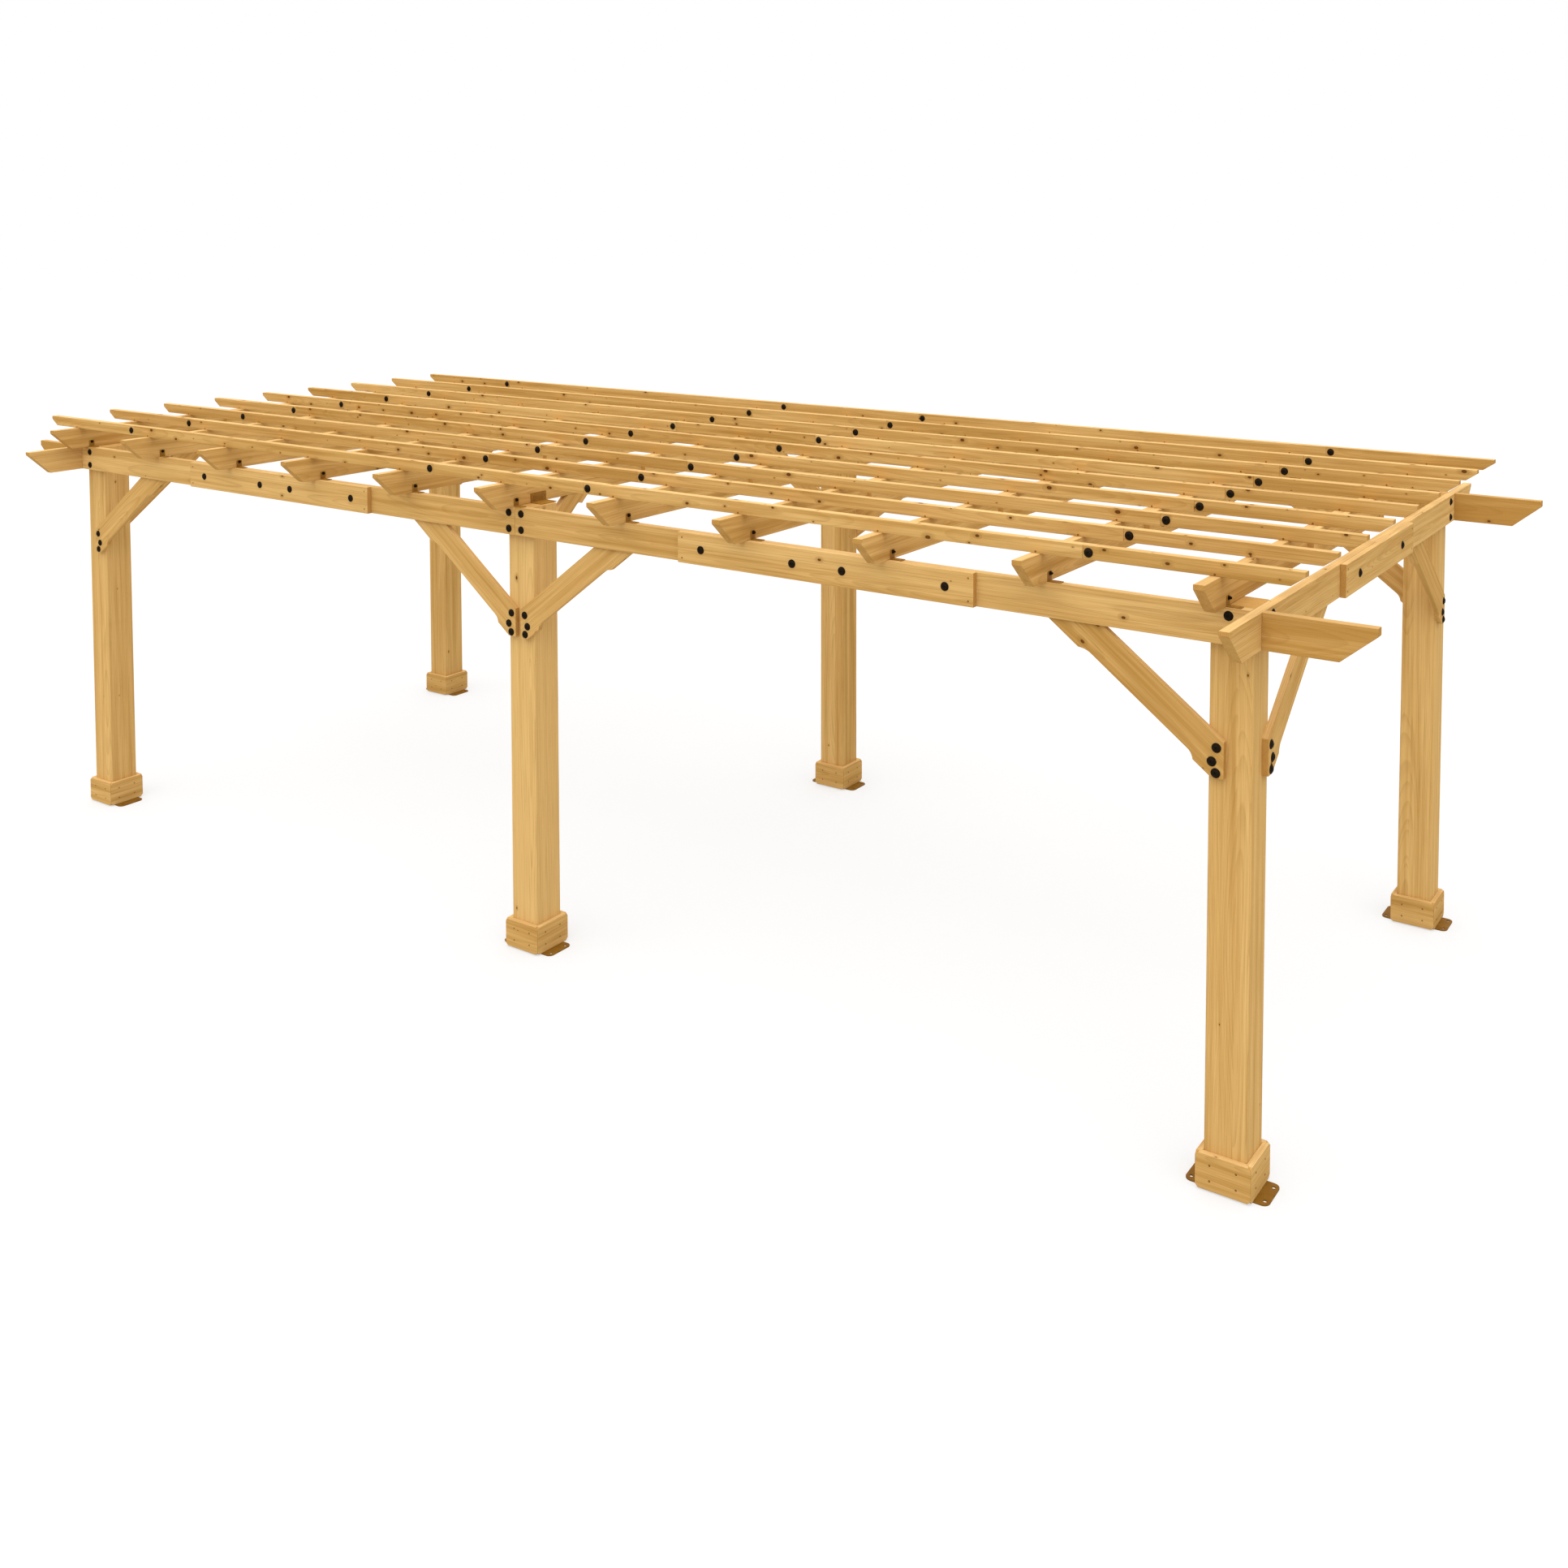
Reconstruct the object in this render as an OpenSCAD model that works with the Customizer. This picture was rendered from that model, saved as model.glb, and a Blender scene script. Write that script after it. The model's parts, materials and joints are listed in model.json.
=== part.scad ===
// Open timber pergola on six square posts.
// Millimetres. X runs along the long side, Y across, Z up; the floor is z = 0.

/* [Frame] */
// Spacing of the posts along the long side, centre to centre
bay_l = 3230; // [2600:10:3600]
// Spacing of the posts across, centre to centre
bay_w = 2460; // [2000:10:3000]
// Height of the top of the beams above the floor
beam_top = 1997; // [1950:1:2500]

/* [Posts] */
// Width of a square post
post_w = 150; // [140:1:170]
// Bevel on the long corners of a post
post_ease = 4; // [2:0.5:8]

/* [Foot plates] */
// Length of a foot plate along X
plate_l = 292; // [280:1:340]
// Width of a foot plate along Y
plate_w = 140; // [130:1:150]
// Thickness of a foot plate
plate_t = 5; // [3:0.5:8]
// Radius of the plate corners
plate_r = 24; // [10:1:30]
// Spacing of the plate holes along X
hole_dx = 256; // [244:1:262]
// Spacing of the plate holes along Y
hole_dy = 90; // [80:1:96]
// Diameter of the plate holes
hole_d = 14; // [8:0.5:15]

/* [Skirts] */
// Height of the boards round a post foot
skirt_h = 124; // [90:1:150]
// Thickness of the boards round a post foot
skirt_t = 22; // [16:1:26]
// Cut on the corners of a skirt board
skirt_clip = 12; // [6:1:18]

/* [Beams] */
// Depth of the beams
beam_h = 125; // [120:1:160]
// Thickness of the beam boards
beam_t = 36; // [30:1:45]
// How far the end beams reach past the faces of the long beams
end_over = 300; // [200:5:340]
// Height of the blunt nose on an end beam
end_nose = 15; // [8:1:30]
// Length of the slant on an end beam
end_slant = 120; // [80:5:150]
// Length of a beam tail
tail_l = 370; // [300:2:450]
// Height of the blunt nose on a tail
tail_nose = 27; // [12:1:40]
// Length of the slant on a tail
tail_slant = 120; // [100:2:200]

/* [Splice plates] */
// Length of the splice plates on the long beams
splice_l = 1360; // [900:10:1500]
// Length of the splice plates on the end beams
end_splice_l = 960; // [700:10:1100]
// Thickness of the splice plates
splice_t = 23; // [18:1:30]

/* [Knee braces] */
// Distance from the post centre to the top edge of a brace at the beam
brace_reach = 452; // [380:2:500]
// Height from the beam down to the upper corner of the brace foot
brace_drop = 330; // [260:2:400]
// Distance from the post centre to the plumb cut of a brace
brace_in = 15; // [10:1:30]
// Width of a brace at its heels
brace_w = 125; // [110:1:140]
// Depth of the coves between the heels
brace_cove = 16; // [6:1:20]
// Length of the upper heel
heel_top = 148; // [100:2:180]
// Length of the lower heel
heel_foot = 82; // [70:2:130]
// Height of the plumb cut at the foot of a brace
foot_cut = 125; // [100:1:150]
// Thickness of a brace
brace_t = 23; // [18:1:30]
// Diameter of the screw pocket in the lower edge of a brace
pocket_d = 12; // [8:0.5:15]
// Distance along the lower edge from the beam to the pocket
pocket_at = 68; // [50:1:80]
// Angle between the pocket and the lower edge
pocket_a = 20; // [15:1:35]
// Depth of the pocket along its own line
pocket_l = 20; // [12:1:30]
// Distance from the middle post's centre to the upper corner of an inner brace
inner_reach = 238; // [200:2:300]
// Height from the rafter down to the upper corner of the inner brace's foot
inner_drop = 150; // [120:2:200]
// Width of an inner brace at its head
inner_w = 100; // [85:1:115]
// Depth of the cove under the head of an inner brace
inner_cove = 22; // [10:1:28]
// Length of the head along its lower edge
inner_head = 74; // [50:2:100]

/* [Rafters] */
// Count of the rafters in each bay
rafter_bays = 5; // [3:1:6]
// Depth of a rafter
rafter_h = 110; // [80:1:120]
// Thickness of a rafter
rafter_t = 38; // [30:1:45]
// Offset of the right face of a rafter from the post centre
rafter_set = 10; // [0:1:15]
// How far the rafters reach past the faces of the long beams
rafter_over = 196; // [150:2:260]
// Height of the blunt nose on a rafter
rafter_nose = 18; // [8:1:30]
// Length of the slant on a rafter
rafter_slant = 102; // [80:2:140]
// Length of the splice plates on the rafters
rafter_splice_l = 960; // [700:10:1100]

/* [Purlins] */
// Count of the purlins
purlin_n = 9; // [7:2:11]
// Height of a purlin
purlin_h = 50; // [40:1:65]
// Thickness of a purlin
purlin_t = 36; // [30:1:45]
// Spacing of the purlins
purlin_pitch = 344; // [300:2:370]
// How far the purlins reach past the outer posts, from the post centres
purlin_over = 268; // [250:2:360]
// Distance from the middle to the inner laps
lap_in = 476; // [400:2:540]
// Distance from the middle to the outer laps
lap_out = 2755; // [2400:5:2800]
// Length of a half lap
lap_l = 44; // [36:1:60]
// Height of the blunt nose on a purlin
purlin_nose = 17; // [10:1:25]
// Length of the slant on a purlin
purlin_slant = 48; // [30:1:60]

/* [Angle brackets] */
// Length of the flat leg of a rafter bracket
bracket_leg = 51; // [40:1:60]
// Height of the upright leg of a rafter bracket
bracket_rise = 37; // [30:1:45]
// Width of a rafter bracket
bracket_w = 29; // [22:1:32]
// Thickness of the bracket steel
bracket_t = 3; // [2:0.5:4]
// Radius of the corners at the ends of the legs
bracket_r = 4; // [2:0.5:6]
// Diameter of the bracket holes
bracket_hole = 7; // [5:0.5:9]
// Distance from the hole of a rafter bracket to the end of its leg
bracket_end = 8; // [7:0.5:12]
// Length of the flat leg of a post angle
angle_leg = 68; // [50:1:75]
// Height of the upright leg of a post angle
angle_rise = 44; // [40:1:80]
// Width of a post angle
angle_w = 96; // [60:1:110]
// Distance from the holes of a post angle to the ends of its legs
angle_end = 20; // [10:1:26]
// Distance from the holes of a post angle to its sides
angle_side = 15; // [10:1:22]
// How far a post angle sits inwards of the post centre
angle_shift = 45; // [0:1:50]

/* [Hidden] */
$fn = 48;
wood = [0.82, 0.63, 0.36];
steel = [0.45, 0.33, 0.16];
seam = 0.4;
eps = 1;
ph = post_w / 2;
post_z = plate_t;
beam_z = beam_top - beam_h;
long_y = bay_w / 2 + ph;
end_x = bay_l + ph;
long_out = long_y + beam_t;
end_out = end_x + beam_t;
end_half = long_out + end_over;
rafter_n = 2 * rafter_bays + 1;
rafter_pitch = bay_l / rafter_bays;
rafter_half = long_out + rafter_over;
purlin_z = beam_top + rafter_h;
purlin_half = bay_l + purlin_over;
brace_a = atan2(brace_drop, brace_reach - brace_in);
cove_top_a = 36;
cove_foot_a = 48;
inner_a = atan2(inner_drop, inner_reach - ph);
inner_cove_a = 80;
cove_steps = 8;
columns = [-1, 0, 1];

// Board with its outline in X and Z, from y to y + t.
module board_x(pts, y, t) {
  translate([0, y + t, 0])
    rotate([90, 0, 0])
      linear_extrude(height = t)
        polygon(pts);
}

// Board with its outline in Y and Z, from x to x + t.
module board_y(pts, x, t) {
  translate([x, 0, 0])
    rotate([90, 0, 90])
      linear_extrude(height = t)
        polygon(pts);
}

// One square post with bevelled corners.
module post(i, j) {
  e = post_ease;
  color(wood)
    translate([i * bay_l, j * bay_w / 2, post_z])
      linear_extrude(height = beam_top - post_z)
        polygon([
          [e - ph, -ph], [ph - e, -ph], [ph, e - ph], [ph, ph - e],
          [ph - e, ph], [e - ph, ph], [-ph, ph - e], [-ph, e - ph]
        ]);
}

// One steel foot plate with four holes.
module foot_plate(i, j) {
  color(steel)
    translate([i * bay_l, j * bay_w / 2, 0])
      difference() {
        union() {
          translate([-plate_l / 2 + plate_r, -plate_w / 2, 0])
            cube([plate_l - 2 * plate_r, plate_w, plate_t]);
          translate([-plate_l / 2, -plate_w / 2 + plate_r, 0])
            cube([plate_l, plate_w - 2 * plate_r, plate_t]);
          for (a = [-1, 1], b = [-1, 1])
            translate([a * (plate_l / 2 - plate_r), b * (plate_w / 2 - plate_r), 0])
              cylinder(h = plate_t, r = plate_r);
        }
        for (a = [-1, 1], b = [-1, 1])
          translate([a * hole_dx / 2, b * hole_dy / 2, -eps])
            cylinder(h = plate_t + 2 * eps, d = hole_d);
      }
}

// One skirt board on the front side of a post: mitred ends, clipped corners.
module skirt_board() {
  o = ph + skirt_t;
  c = skirt_clip;
  g = seam / 2;
  intersection() {
    board_x([
      [c - o, 0], [o - c, 0], [o, c], [o, skirt_h - c],
      [o - c, skirt_h], [c - o, skirt_h], [-o, skirt_h - c], [-o, c]
    ], -o, skirt_t);
    translate([0, 0, -eps])
      linear_extrude(height = skirt_h + 2 * eps)
        polygon([[g - o, -o], [o - g, -o], [ph - g, -ph], [g - ph, -ph]]);
  }
}

// The four skirt boards of one post.
module skirt(i, j) {
  color(wood)
    translate([i * bay_l, j * bay_w / 2, post_z])
      for (k = [0:3])
        rotate([0, 0, k * 90])
          skirt_board();
}

// Plain board of a long beam between x0 and x1.
module beam_board(x0, x1, y) {
  translate([x0, y, beam_z])
    cube([x1 - x0, beam_t, beam_h]);
}

// Outer boards of a long beam; s is -1 for the front, 1 for the back.
module beam_outer(s) {
  y = s < 0 ? -long_out : long_y;
  color(wood) {
    beam_board(-end_x, -bay_l / 2 - seam / 2, y);
    beam_board(bay_l / 2 + seam / 2, end_x, y);
  }
}

// Inner boards of a long beam, butted over the middle post.
module beam_inner(s) {
  y = s < 0 ? -long_out : long_y;
  color(wood) {
    beam_board(-bay_l / 2 + seam / 2, -seam / 2, y);
    beam_board(seam / 2, bay_l / 2 - seam / 2, y);
  }
}

// Splice plates over the butt joints of a long beam.
module splices(s) {
  y = s < 0 ? -long_out - splice_t : long_out;
  color(wood)
    for (m = [-1, 1])
      translate([m * bay_l / 2 - splice_l / 2, y, beam_z])
        cube([splice_l, splice_t, beam_h]);
}

// End beam of two boards butted at mid span; s is -1 for the left, 1 for the right.
module end_beam(s) {
  x = s < 0 ? -end_out : end_x;
  color(wood)
    for (m = [-1, 1])
      board_y([
        [m * seam / 2, beam_z], [m * seam / 2, beam_top], [m * end_half, beam_top],
        [m * end_half, beam_top - end_nose], [m * (end_half - end_slant), beam_z]
      ], x, beam_t);
}

// Splice plate over the butt joint of an end beam.
module end_splice(s) {
  x = s < 0 ? -end_out - splice_t : end_out;
  color(wood)
    translate([x, -end_splice_l / 2, beam_z])
      cube([splice_t, end_splice_l, beam_h]);
}

// Tails that carry the lines of the long beams past an end beam.
module tails(s) {
  x0 = s * end_out;
  x1 = s * (end_out + tail_l);
  color(wood)
    for (y = [-long_out, long_y])
      board_x([
        [x0, beam_z], [x0, beam_top], [x1, beam_top],
        [x1, beam_top - tail_nose], [x1 - s * tail_slant, beam_z]
      ], y, beam_t);
}

// Lower edge of a brace at the distance d along it, set in by n.
function low(d, n) = [
  brace_reach + brace_w / sin(brace_a) - d * cos(brace_a) - n * sin(brace_a),
  beam_z - d * sin(brace_a) + n * cos(brace_a)
];
low_len = (brace_drop + foot_cut) / sin(brace_a);

// Arc of the cove under the upper heel, from its straight end at f = 0 to the heel at f = 1.
function cove_r(a) = brace_cove / (1 - cos(a));
function cove_in(a, f) = brace_cove - cove_r(a) * (1 - cos(a * f));
function cove_run(a, f) = cove_r(a) * (sin(a) - sin(a * f));
function cove_top(f) = low(heel_top + cove_run(cove_top_a, f), cove_in(cove_top_a, f));

// Arc of the cove over the lower heel, in the same way.
function cove_foot(f) = low(low_len - heel_foot - cove_run(cove_foot_a, f), cove_in(cove_foot_a, f));

// Outline of a brace, with u the distance from the post centre.
brace_pts = concat(
  [[brace_in, beam_z - brace_drop - foot_cut], [brace_in, beam_z - brace_drop], [brace_reach, beam_z]],
  [low(0, 0)],
  [for (k = [0:cove_steps]) cove_top(1 - k / cove_steps)],
  [for (k = [0:cove_steps]) cove_foot(k / cove_steps)],
  [low(low_len, 0)]
);

// Outline of a brace turned to the side m and moved to the post at c.
function brace_at(c, m) = [for (p = brace_pts) [c + m * p[0], p[1]]];

// Lower edge of an inner brace at the distance d along it, set in by n.
function inner_low(d, n) = [
  inner_reach + inner_w / sin(inner_a) - d * cos(inner_a) - n * sin(inner_a),
  beam_top - d * sin(inner_a) + n * cos(inner_a)
];

// Arc of the cove under its head, from the straight part at f = 0 to the head at f = 1.
inner_r = inner_cove / (1 - cos(inner_cove_a));
function inner_arc(f) = inner_low(
  inner_head + inner_r * (sin(inner_cove_a) - sin(inner_cove_a * f)),
  inner_cove - inner_r * (1 - cos(inner_cove_a * f))
);

// Outline of an inner brace, from the post's inner face up to the rafter.
inner_pts = concat(
  [[ph, beam_top - inner_drop - (inner_w - inner_cove) / cos(inner_a)]],
  [[ph, beam_top - inner_drop], [inner_reach, beam_top], inner_low(0, 0)],
  [for (k = [0:cove_steps]) inner_arc(1 - k / cove_steps)]
);

// Brace from a middle post inwards, flush under the middle rafter.
module inner_brace(s) {
  color(wood)
    board_y([for (p = inner_pts) [s * (bay_w / 2 - p[0]), p[1]]], rafter_x(rafter_bays) - rafter_t, rafter_t);
}

// Drill of a screw pocket, its tip along Z and its mouth at the origin.
module pocket_drill() {
  out = 1.6 * pocket_d / tan(pocket_a);
  translate([0, 0, -out])
    cylinder(h = out + pocket_l, d = pocket_d);
}

// Braces on the front or the back, each with a pocket that leads up to the beam.
module long_braces(s) {
  y = s < 0 ? -long_y - brace_t : long_y;
  mouth = low(pocket_at, 0);
  color(wood)
    for (q = [[-1, 1], [0, -1], [0, 1], [1, -1]])
      difference() {
        board_x(brace_at(q[0] * bay_l, q[1]), y, brace_t);
        translate([q[0] * bay_l + q[1] * mouth[0], y + brace_t / 2, mouth[1]])
          rotate([0, q[1] * (90 - brace_a - pocket_a), 0])
            pocket_drill();
      }
  inner_brace(s);
}

// Braces on the left or the right end, with the same pockets.
module end_braces(s) {
  x = s < 0 ? -end_x - brace_t : end_x;
  mouth = low(pocket_at, 0);
  color(wood)
    for (m = [-1, 1])
      difference() {
        board_y(brace_at(m * bay_w / 2, -m), x, brace_t);
        translate([x + brace_t / 2, m * (bay_w / 2 - mouth[0]), mouth[1]])
          rotate([m * (90 - brace_a - pocket_a), 0, 0])
            pocket_drill();
      }
}

// Right face of rafter k.
function rafter_x(k) = k * rafter_pitch - bay_l - rafter_set;

// All the rafters, each of two boards butted at mid span and slanted at the outer end.
module rafters() {
  color(wood)
    for (k = [0:rafter_n - 1], m = [-1, 1])
      board_y([
        [m * seam / 2, beam_top], [m * seam / 2, purlin_z], [m * rafter_half, purlin_z],
        [m * rafter_half, purlin_z - rafter_nose], [m * (rafter_half - rafter_slant), beam_top]
      ], rafter_x(k) - rafter_t, rafter_t);
}

// Splice plates over the butt joints of the rafters.
module rafter_splices() {
  color(wood)
    for (k = [0:rafter_n - 1])
      translate([rafter_x(k), -rafter_splice_l / 2, beam_top])
        cube([splice_t, rafter_splice_l, rafter_h]);
}

// Front or back half of a lap at x, cut away on the side s.
module lap_cut(x, s) {
  translate([x - lap_l / 2 - seam / 2, s < 0 ? -purlin_t : 0, purlin_z - eps])
    cube([lap_l + seam, purlin_t, purlin_h + 2 * eps]);
}

// Plain piece of a purlin from x0 to x1, on the middle line.
module purlin_piece(x0, x1) {
  translate([x0, -purlin_t / 2, purlin_z])
    cube([x1 - x0, purlin_t, purlin_h]);
}

// Copies of a purlin piece at each row.
module rows() {
  for (k = [0:purlin_n - 1])
    translate([0, (k - (purlin_n - 1) / 2) * purlin_pitch, 0])
      children();
}

// End pieces, slanted outside and lapped in front at the inner end.
module purlin_ends(s) {
  x0 = s * (lap_out - lap_l / 2);
  x1 = s * purlin_half;
  top = purlin_z + purlin_h;
  color(wood)
    rows()
      difference() {
        board_x([
          [x0, purlin_z], [x0, top], [x1, top],
          [x1, top - purlin_nose], [x1 - s * purlin_slant, purlin_z]
        ], -purlin_t / 2, purlin_t);
        lap_cut(s * lap_out, 1);
      }
}

// Long pieces, lapped behind at the outer end and in front at the inner end.
module purlin_lengths(s) {
  a = s * (lap_in - lap_l / 2);
  b = s * (lap_out + lap_l / 2);
  color(wood)
    rows()
      difference() {
        purlin_piece(min(a, b), max(a, b));
        lap_cut(s * lap_out, -1);
        lap_cut(s * lap_in, 1);
      }
}

// Centre pieces, lapped behind at both ends.
module purlin_centres() {
  color(wood)
    rows()
      difference() {
        purlin_piece(-lap_in - lap_l / 2, lap_in + lap_l / 2);
        lap_cut(-lap_in, -1);
        lap_cut(lap_in, -1);
      }
}

// One leg of an angle along X, with its far corners rounded.
module leg_plate(l, w) {
  r = bracket_r;
  translate([0, -w / 2, 0])
    cube([l - r, w, bracket_t]);
  translate([0, r - w / 2, 0])
    cube([l, w - 2 * r, bracket_t]);
  for (a = [-1, 1])
    translate([l - r, a * (w / 2 - r), 0])
      cylinder(h = bracket_t, r = r);
}

// One steel angle with its corner at the origin, legs along X and Z, holes at the widths ys.
module angle(leg, rise, w, hole_end, ys) {
  difference() {
    union() {
      leg_plate(leg, w);
      translate([bracket_t, 0, 0])
        rotate([0, -90, 0])
          leg_plate(rise, w);
    }
    for (y = ys) {
      translate([leg - hole_end, y, -eps])
        cylinder(h = bracket_t + 2 * eps, d = bracket_hole);
      translate([-eps, y, rise - hole_end])
        rotate([0, 90, 0])
          cylinder(h = bracket_t + 2 * eps, d = bracket_hole);
    }
  }
}

// Brackets between the rafters and a long beam.
module rafter_brackets(s) {
  color(steel)
    for (k = [0:rafter_n - 1])
      translate([rafter_x(k), s * (long_y + beam_t / 2), beam_top])
        angle(bracket_leg, bracket_rise, bracket_w, bracket_end, [0]);
}

// Angles between the middle rafter and the tops of the middle posts.
module post_angles() {
  y = angle_w / 2 - angle_side;
  color(steel)
    for (s = [-1, 1])
      translate([rafter_x(rafter_bays), s * (bay_w / 2 - angle_shift), beam_top])
        angle(angle_leg, angle_rise, angle_w, angle_end, [-y, y]);
}

post(-1, -1);  // post_front_left
post(0, -1);  // post_front_mid
post(1, -1);  // post_front_right
post(-1, 1);  // post_back_left
post(0, 1);  // post_back_mid
post(1, 1);  // post_back_right
foot_plate(-1, -1);  // foot_plate_front_left
foot_plate(0, -1);  // foot_plate_front_mid
foot_plate(1, -1);  // foot_plate_front_right
foot_plate(-1, 1);  // foot_plate_back_left
foot_plate(0, 1);  // foot_plate_back_mid
foot_plate(1, 1);  // foot_plate_back_right
skirt(-1, -1);  // skirt_front_left
skirt(0, -1);  // skirt_front_mid
skirt(1, -1);  // skirt_front_right
skirt(-1, 1);  // skirt_back_left
skirt(0, 1);  // skirt_back_mid
skirt(1, 1);  // skirt_back_right
beam_outer(-1);  // front_beam_outer_boards
beam_inner(-1);  // front_beam_inner_boards
beam_outer(1);  // back_beam_outer_boards
beam_inner(1);  // back_beam_inner_boards
splices(-1);  // front_splice_plates
splices(1);  // back_splice_plates
end_beam(-1);  // left_end_beam
end_beam(1);  // right_end_beam
end_splice(-1);  // left_end_splice_plate
end_splice(1);  // right_end_splice_plate
tails(-1);  // left_beam_tails
tails(1);  // right_beam_tails
long_braces(-1);  // front_knee_braces
long_braces(1);  // back_knee_braces
end_braces(-1);  // left_knee_braces
end_braces(1);  // right_knee_braces
rafters();
rafter_splices();  // rafter_splice_plates
purlin_ends(-1);  // purlin_left_ends
purlin_lengths(-1);  // purlin_left_lengths
purlin_centres();
purlin_lengths(1);  // purlin_right_lengths
purlin_ends(1);  // purlin_right_ends
rafter_brackets(-1);  // front_rafter_brackets
rafter_brackets(1);  // back_rafter_brackets
post_angles();
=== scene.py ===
"""Looks of an open timber pergola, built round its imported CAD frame.

Each board of the frame is redrawn with eased edges and a grain of its own, the steel plates and
angles get their coat, and the bolts, nuts and screws are added. Lengths are in millimetres, apart
from those whose name ends in _m and the points of meshes, which are in metres. The frame has X along
the long side, Y from the front to the back and Z up.
"""
from __future__ import annotations

import json
import logging
import math
import random
from dataclasses import dataclass, field
from enum import Enum
from typing import Sequence

import bmesh
import bpy
import numpy as np
from mathutils import Matrix, Vector

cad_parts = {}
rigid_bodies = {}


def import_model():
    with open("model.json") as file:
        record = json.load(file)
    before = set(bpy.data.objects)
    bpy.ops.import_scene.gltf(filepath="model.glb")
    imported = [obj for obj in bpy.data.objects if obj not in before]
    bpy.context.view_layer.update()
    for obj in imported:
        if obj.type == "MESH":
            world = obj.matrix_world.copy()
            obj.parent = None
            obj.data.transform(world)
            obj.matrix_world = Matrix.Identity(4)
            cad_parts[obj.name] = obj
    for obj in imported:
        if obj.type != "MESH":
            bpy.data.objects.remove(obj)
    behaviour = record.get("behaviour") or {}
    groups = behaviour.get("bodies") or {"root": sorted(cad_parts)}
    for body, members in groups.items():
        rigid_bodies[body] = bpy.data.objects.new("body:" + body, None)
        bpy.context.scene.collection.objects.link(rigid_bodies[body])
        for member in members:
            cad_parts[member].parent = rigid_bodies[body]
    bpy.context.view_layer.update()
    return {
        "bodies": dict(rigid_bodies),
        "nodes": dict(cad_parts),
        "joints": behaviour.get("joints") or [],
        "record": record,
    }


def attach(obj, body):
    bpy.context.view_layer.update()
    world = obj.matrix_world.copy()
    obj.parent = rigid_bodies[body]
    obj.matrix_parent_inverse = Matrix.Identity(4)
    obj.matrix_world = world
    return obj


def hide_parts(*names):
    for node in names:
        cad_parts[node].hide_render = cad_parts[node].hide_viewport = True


LOG = logging.getLogger("pergola")
MM = 0.001
BODY = "root"

# Camera and light.
PHOTO_PX = 1932
SENSOR_MM = 36.0
CLIP_END_M = 500.0
LAMP_AWAY_M = 10.0
WHITE = (1.0, 1.0, 1.0, 1.0)

# Materials: the band that a noise mostly fills, and the IOR of stains and coats.
NOISE_EDGE = (0.2, 0.8)
COAT_IOR = 1.5

# Meshes: corners this near are one and faces this flat are one. Edges sharper than this are eased on
# boards and plates, and are creases on fasteners. Lengths in metres are compared to so many digits,
# so that no rounding error decides. The mark is the material index of a rounding's faces.
WELD_MM = 0.05
FLAT_DEG = 0.5
SHARP_DEG = 25.0
CREASE_DEG = 40.0
LENGTH_DIGITS = 5
SPAN_DIGITS = 4
ROUND_MARK = 1

# Boards: how much of the grain's direction makes an edge a long one, and how little makes an axis a
# cross one; then the tilt towards the grain from which a face shows end grain, and how far to full.
ALONG_GRAIN = 0.95
ACROSS_GRAIN = 0.5
END_FROM = 0.25
END_SPAN = 0.55

# Each face has knots of its own, and each board its own stretch of grain, tone and pith.
FACE_STEP_M = 0.37
GRAIN_RUN_M = 60.0
TONE_SPREAD = 0.7
TONE_LIMIT = 1.5
PITH_SIDE_M = 0.05
PITH_DEPTH_M = (0.015, 0.12)

Point = tuple[float, float, float]
Pair = tuple[float, float]
Stops = tuple[tuple[float, float], ...]
Tree = bpy.types.NodeTree
Node = bpy.types.Node
Socket = bpy.types.NodeSocket


class Slot(Enum):
    """Material slots of the record."""

    WOOD = "stained_softwood"
    STEEL = "bronze_steel"


class Section(Enum):
    """Outline of one ring of a turned shape."""

    ROUND = "round"
    HEX = "hex"


# Materials


def linear(code: str) -> tuple[float, float, float, float]:
    """Turns an sRGB hex colour into linear RGBA.

    Args:
        code: Colour as "#RRGGBB".

    Returns:
        Linear red, green, blue and an alpha of one.
    """
    parts = [int(code[i:i + 2], 16) / 255.0 for i in (1, 3, 5)]
    flat = [c / 12.92 if c <= 0.04045 else ((c + 0.055) / 1.055) ** 2.4 for c in parts]
    return (flat[0], flat[1], flat[2], 1.0)


def add_node(tree: Tree, kind: str, feeds: dict | Sequence = (), **settings) -> Node:
    """Adds a node with its settings and links.

    Args:
        tree: Node tree that gets the node.
        kind: Blender's type name of the node, without its "ShaderNode".
        feeds: What feeds its inputs, in order or by name or number: a value, a socket, or a node,
            which stands for its first output in use.
        settings: Attributes of the node.

    Returns:
        The new node.
    """
    node = tree.nodes.new("ShaderNode" + kind)
    for key, value in settings.items():
        setattr(node, key, value)
    for key, value in feeds.items() if isinstance(feeds, dict) else enumerate(feeds):
        if isinstance(value, bpy.types.Node):
            value = next(socket for socket in value.outputs if socket.enabled)
        if isinstance(value, bpy.types.NodeSocket):
            tree.links.new(value, node.inputs[key])
        else:
            node.inputs[key].default_value = value
    return node


def blank_material(name: str) -> tuple[bpy.types.Material, Tree]:
    """Makes an empty node material.

    Args:
        name: Name of the material.

    Returns:
        The material and its node tree.
    """
    material = bpy.data.materials.new(name)
    material.use_nodes = True
    material.node_tree.nodes.clear()
    return material, material.node_tree


def set_stops(ramp: bpy.types.ColorRamp, stops: Sequence[tuple[float, tuple]]) -> None:
    """Gives a colour ramp its stops.

    Args:
        ramp: The ramp, with Blender's two stops.
        stops: Position and linear colour of each stop, in order.
    """
    while len(ramp.elements) < len(stops):
        ramp.elements.new(0.5)
    for element, (position, colour) in zip(ramp.elements, stops):
        element.position = position
        element.color = colour


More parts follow.
